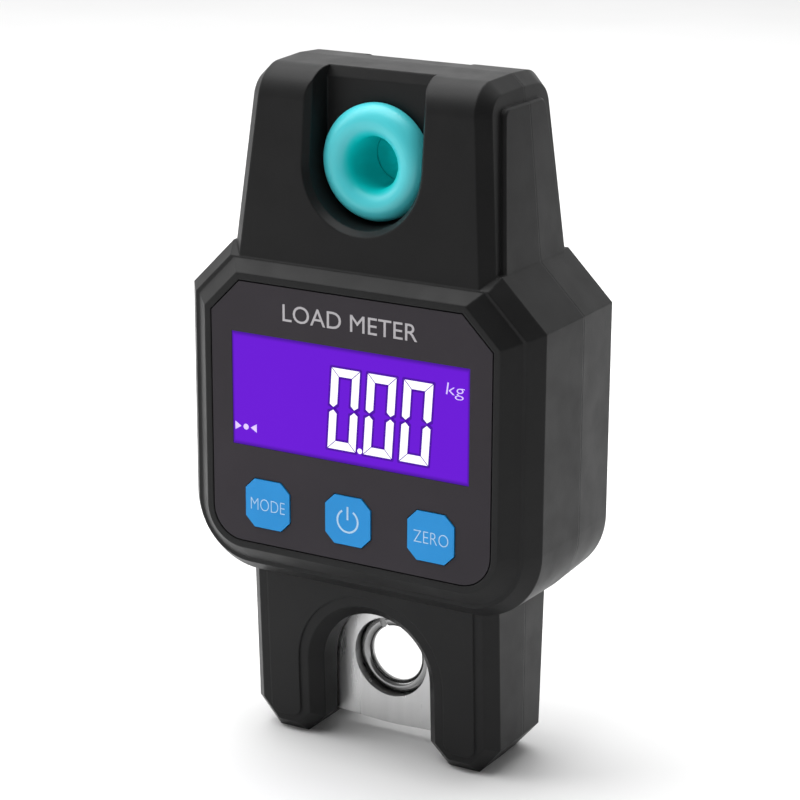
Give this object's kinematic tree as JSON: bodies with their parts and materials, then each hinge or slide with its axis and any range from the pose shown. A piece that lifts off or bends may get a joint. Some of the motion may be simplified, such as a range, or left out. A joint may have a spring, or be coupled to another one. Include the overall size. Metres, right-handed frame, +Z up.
{
  "type": "crane scale",
  "caption": "Hanging crane scale: plastic casing round a flat steel load cell, lined upper eye, display and keys in front, wire-lined lower eye between legs.",
  "frame": {"origin": "centre of the upper eye's throat, in the middle of the load plate's thickness", "axes": "+Z up along the line from the lower eye to the upper eye, +X to the right seen from the display side, +Y from the display side to the battery side, along the eye's axis"},
  "size_m": [0.073, 0.0352, 0.1278],
  "materials": {
    "casing": "black moulded plastic, fine grain",
    "panel": "warm dark grey printed film",
    "window": "clear",
    "keys": "satin blue",
    "switch_black": "black",
    "plunger": "moulded",
    "display_glass": "violet lit display glass",
    "backlight": "diffusing white",
    "frame_white": "white",
    "elastomer": "striped rubber",
    "board": "green solder mask",
    "steel_screw": "zinc plated",
    "epoxy": "black epoxy",
    "component": "ceramic chips",
    "can": "bright can",
    "plate_steel": "satin",
    "ring_steel": "bright drawn wire",
    "gauge_film": "amber film",
    "wire": "insulated wire",
    "wire_black": "insulated wire",
    "bushing": "teal moulded plastic",
    "cell": "plain sleeve",
    "contact": "nickel plated"
  },
  "bodies": {
    "scale_body": {"front_casing": "casing", "rear_casing": "casing", "front_panel": "panel", "display_window": "window", "tact_switches": "switch_black", "lcd_glass": "display_glass", "lcd_backlight": "backlight", "lcd_frame": "frame_white", "elastomer_connector": "elastomer", "main_pcb": "board", "pcb_screws": "steel_screw", "controller_blob": "epoxy", "converter_chip": "epoxy", "smd_parts": "component", "capacitor": "can", "clock_crystal": "can", "load_plate": "plate_steel", "plate_screws": "steel_screw", "strain_gauges": "gauge_film", "gauge_wires": "wire", "upper_bushing_front": "bushing", "upper_bushing_rear": "bushing", "lower_wear_ring": "ring_steel", "battery_cell_1": "cell", "battery_cell_2": "cell", "battery_cell_3": "cell", "battery_springs": "contact", "battery_contacts": "contact", "battery_wire_plus": "wire", "battery_wire_minus": "wire_black", "casing_screws": "steel_screw"},
    "unit_key_set": {"unit_key": "keys", "unit_switch_plunger": "plunger"},
    "power_key_set": {"power_key": "keys", "power_switch_plunger": "plunger"},
    "tare_key_set": {"tare_key": "keys", "tare_switch_plunger": "plunger"},
    "door": {"battery_door": "casing"}
  },
  "joints": [
    {"name": "unit_key_press", "type": "slide", "parent": "scale_body", "child": "unit_key_set", "axis": [0, 1, 0], "range_m": [0, 0.0004], "stiffness_N_per_m": 3000, "springref_m": -0.0003},
    {"name": "power_key_press", "type": "slide", "parent": "scale_body", "child": "power_key_set", "axis": [0, 1, 0], "range_m": [0, 0.0004], "stiffness_N_per_m": 3000, "springref_m": -0.0003},
    {"name": "tare_key_press", "type": "slide", "parent": "scale_body", "child": "tare_key_set", "axis": [0, 1, 0], "range_m": [0, 0.0004], "stiffness_N_per_m": 3000, "springref_m": -0.0003},
    {"name": "battery_door_hinge", "type": "hinge", "parent": "scale_body", "child": "door", "pos_m": [0, 0.017, -0.0652], "axis": [-1, 0, 0], "range_deg": [0, 100]}
  ]
}
